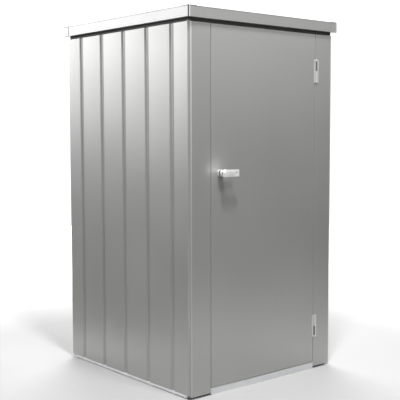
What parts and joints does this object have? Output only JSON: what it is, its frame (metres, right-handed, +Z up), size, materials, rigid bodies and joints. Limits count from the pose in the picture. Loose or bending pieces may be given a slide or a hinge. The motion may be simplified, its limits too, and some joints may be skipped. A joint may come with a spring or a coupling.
{
  "type": "patio storage cabinet",
  "caption": "Tall patio storage cabinet of grooved sheet steel with an overhanging flat roof, a hinged door and a turning handle that works a rod lock.",
  "frame": {"origin": "on the ground at the middle of the four anchor holes and of the walls", "axes": "+Z up, the door and the front face -Y, +X to the right seen from the front"},
  "size_m": [1.011, 1.111, 1.825],
  "materials": {
    "cabinet_paint": "satin",
    "roof_paint": "satin",
    "frame_zinc": "satin",
    "base_aluminium": "satin",
    "hinge_steel": "satin",
    "handle_aluminium": "satin",
    "lock_steel": "satin",
    "screw_steel": "satin",
    "dark_polymer": "matte"
  },
  "bodies": {
    "cabinet": {"wall_left": "cabinet_paint", "wall_right": "cabinet_paint", "wall_rear": "cabinet_paint", "jamb_left": "cabinet_paint", "jamb_right": "cabinet_paint", "roof_panel": "roof_paint", "fascia_front": "roof_paint", "fascia_rear": "roof_paint", "fascia_left": "roof_paint", "fascia_right": "roof_paint", "roof_corner_front_left": "roof_paint", "roof_corner_front_right": "roof_paint", "roof_corner_rear_left": "roof_paint", "roof_corner_rear_right": "roof_paint", "corner_post_rear_left": "frame_zinc", "corner_post_rear_right": "frame_zinc", "top_rail_front": "frame_zinc", "top_rail_rear": "frame_zinc", "top_rail_left": "frame_zinc", "top_rail_right": "frame_zinc", "roof_brackets": "frame_zinc", "shelf_upper": "frame_zinc", "shelf_lower": "frame_zinc", "shelf_brackets": "frame_zinc", "base_corner_cleats": "frame_zinc", "base_sill_front": "base_aluminium", "base_rail_front": "base_aluminium", "base_rail_rear": "base_aluminium", "base_rail_left": "base_aluminium", "base_rail_right": "base_aluminium", "upper_hinge_jamb_leaf": "hinge_steel", "lower_hinge_jamb_leaf": "hinge_steel", "hinge_pins": "hinge_steel", "keeper_upper": "lock_steel", "keeper_lower": "lock_steel", "jamb_hinge_bolts": "screw_steel", "hinge_bushes": "dark_polymer", "roof_vent_strip": "dark_polymer"},
    "door": {"door_skin": "cabinet_paint", "door_stiffener_lower": "frame_zinc", "door_stiffener_middle": "frame_zinc", "door_stiffener_upper": "frame_zinc", "upper_hinge_door_leaf": "hinge_steel", "lower_hinge_door_leaf": "hinge_steel", "door_hinge_bolts": "screw_steel", "handle_rose": "handle_aluminium", "lock_bearing_plate": "lock_steel", "rod_guide_upper": "dark_polymer", "rod_guide_lower": "dark_polymer"},
    "handle": {"handle_hub": "handle_aluminium", "handle_lever": "handle_aluminium", "handle_end_cap": "handle_aluminium", "handle_end_screw": "screw_steel", "handle_spindle": "lock_steel", "lock_cam": "lock_steel", "lock_spacer": "lock_steel", "lock_tongue": "lock_steel", "spindle_nut": "screw_steel"},
    "upper_rod": {"upper_rod": "lock_steel"},
    "lower_rod": {"lower_rod": "lock_steel"}
  },
  "joints": [
    {"name": "door_swing", "type": "hinge", "parent": "cabinet", "child": "door", "pos_m": [0.36275, -0.5253, 0.895], "axis": [0, 0, 1], "range_deg": [0, 160]},
    {"name": "handle_turn", "type": "hinge", "parent": "door", "child": "handle", "pos_m": [-0.3015, -0.521, 1.06], "axis": [0, 1, 0], "range_deg": [0, 90]},
    {"name": "upper_rod_slide", "type": "slide", "parent": "door", "child": "upper_rod", "axis": [0, 0, 1], "range_m": [0, 0.0312]},
    {"name": "lower_rod_slide", "type": "slide", "parent": "door", "child": "lower_rod", "axis": [0, 0, -1], "range_m": [0, 0.0312]}
  ],
  "couplings": [
    {"joint": "upper_rod_slide", "follows": "handle_turn", "m_per_rad": 0.019807},
    {"joint": "lower_rod_slide", "follows": "handle_turn", "m_per_rad": 0.019807}
  ]
}
